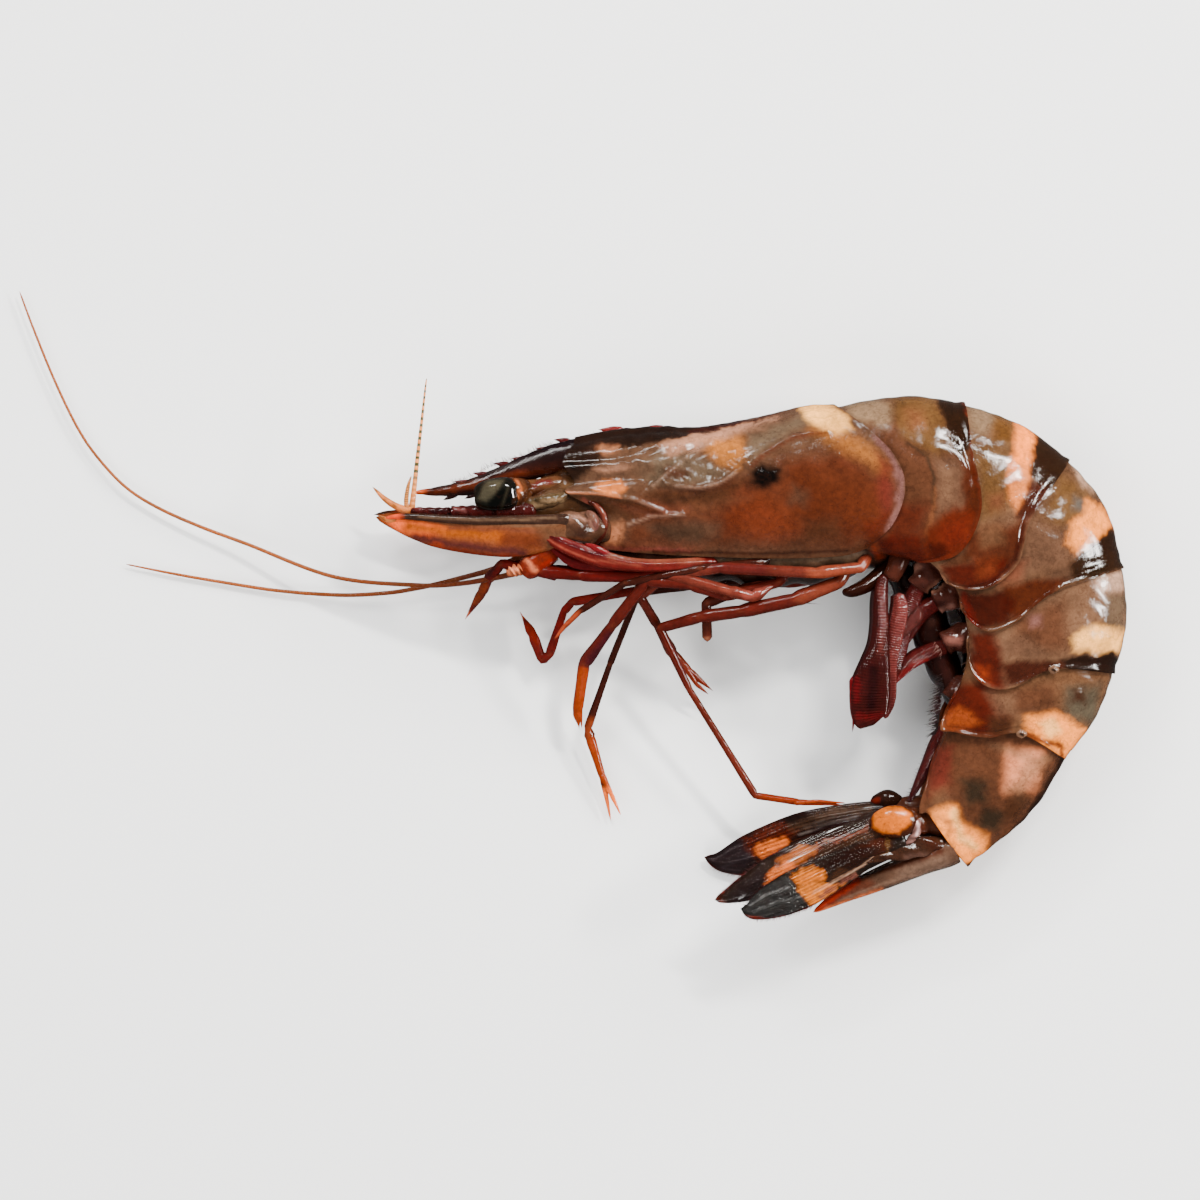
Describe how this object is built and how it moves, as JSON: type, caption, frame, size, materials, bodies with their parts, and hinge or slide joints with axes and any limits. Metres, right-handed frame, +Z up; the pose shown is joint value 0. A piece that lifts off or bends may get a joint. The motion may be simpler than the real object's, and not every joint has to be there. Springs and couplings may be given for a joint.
{
  "type": "raw tiger prawn",
  "caption": "Whole raw prawn with head, legs and long feelers, lying on its side with the tail curled under, for food displays.",
  "frame": {"origin": "middle of the prawn's outline seen from above, on the surface it lies on", "axes": "+X towards the curve of the tail with the head and long feelers towards -X, +Y towards the prawn's back, +Z up through its left side"},
  "size_m": [0.1778, 0.1006, 0.0212],
  "materials": {
    "shell": "wet glossy shell"
  },
  "bodies": {
    "root": {"prawn": "shell"}
  },
  "joints": []
}
